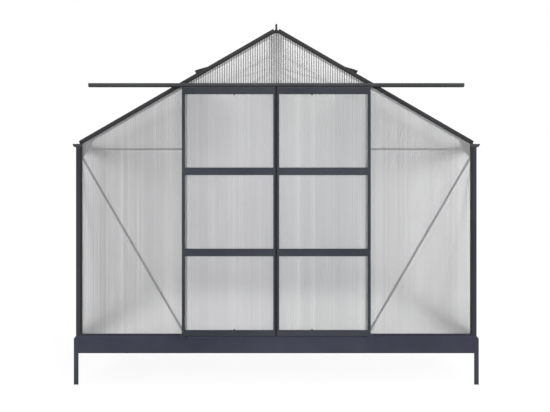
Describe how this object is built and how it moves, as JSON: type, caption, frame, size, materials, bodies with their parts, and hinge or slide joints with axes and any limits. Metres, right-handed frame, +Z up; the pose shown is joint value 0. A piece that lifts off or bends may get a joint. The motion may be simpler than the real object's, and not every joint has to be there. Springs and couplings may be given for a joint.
{
  "type": "polycarbonate greenhouse",
  "caption": "Gabled walk-in greenhouse of dark aluminium bars and twin-wall sheet on a steel base, with paired sliding doors and open roof vents.",
  "frame": {"origin": "ground level under the middle of the greenhouse, at the feet of the stakes", "axes": "+X to the right as seen from the doors, +Y from the doors to the rear wall, +Z up"},
  "size_m": [2.553, 3.0894, 2.2561],
  "materials": {
    "frame_paint": "satin powder coat",
    "door_paint": "satin powder coat",
    "steel_base": "satin powder coat",
    "glazing_sheet": "twin-wall sheet",
    "rubber_seal": "matt",
    "nylon": "moulded",
    "zinc_plate": "zinc plated"
  },
  "bodies": {
    "frame": {"base_end_rails": "steel_base", "base_side_rails": "steel_base", "corner_posts": "frame_paint", "door_guides": "steel_base", "door_header": "frame_paint", "door_jambs": "frame_paint", "door_track": "frame_paint", "eaves_gussets": "frame_paint", "front_wall_panels": "glazing_sheet", "gable_braces": "frame_paint", "gable_rafters": "frame_paint", "gable_ties": "frame_paint", "ground_stakes": "steel_base", "gutter_end_caps": "nylon", "left_gutter": "frame_paint", "left_roof_panels": "glazing_sheet", "left_wall_panels": "glazing_sheet", "rear_wall_panels": "glazing_sheet", "rear_wall_studs": "frame_paint", "ridge_bar": "frame_paint", "ridge_gussets": "frame_paint", "right_gutter": "frame_paint", "right_roof_panels": "glazing_sheet", "right_wall_panels": "glazing_sheet", "roof_bars": "frame_paint", "side_braces": "frame_paint", "side_wall_studs": "frame_paint", "track_end_caps": "nylon", "vent_frames": "frame_paint", "vent_panes": "glazing_sheet", "vent_sills": "frame_paint", "vent_stays": "zinc_plate", "wall_sills": "frame_paint"},
    "left_door": {"left_door_hangers": "zinc_plate", "left_door_panes": "glazing_sheet", "left_door_rails": "door_paint", "left_door_rollers": "nylon", "left_door_seal": "rubber_seal", "left_door_stiles": "door_paint"},
    "right_door": {"right_door_hangers": "zinc_plate", "right_door_panes": "glazing_sheet", "right_door_rails": "door_paint", "right_door_rollers": "nylon", "right_door_seal": "rubber_seal", "right_door_stiles": "door_paint"}
  },
  "joints": [
    {"name": "left_door_slide", "type": "slide", "parent": "frame", "child": "left_door", "axis": [-1, 0, 0], "range_m": [0, 0.57]},
    {"name": "right_door_slide", "type": "slide", "parent": "frame", "child": "right_door", "axis": [1, 0, 0], "range_m": [0, 0.57]}
  ]
}
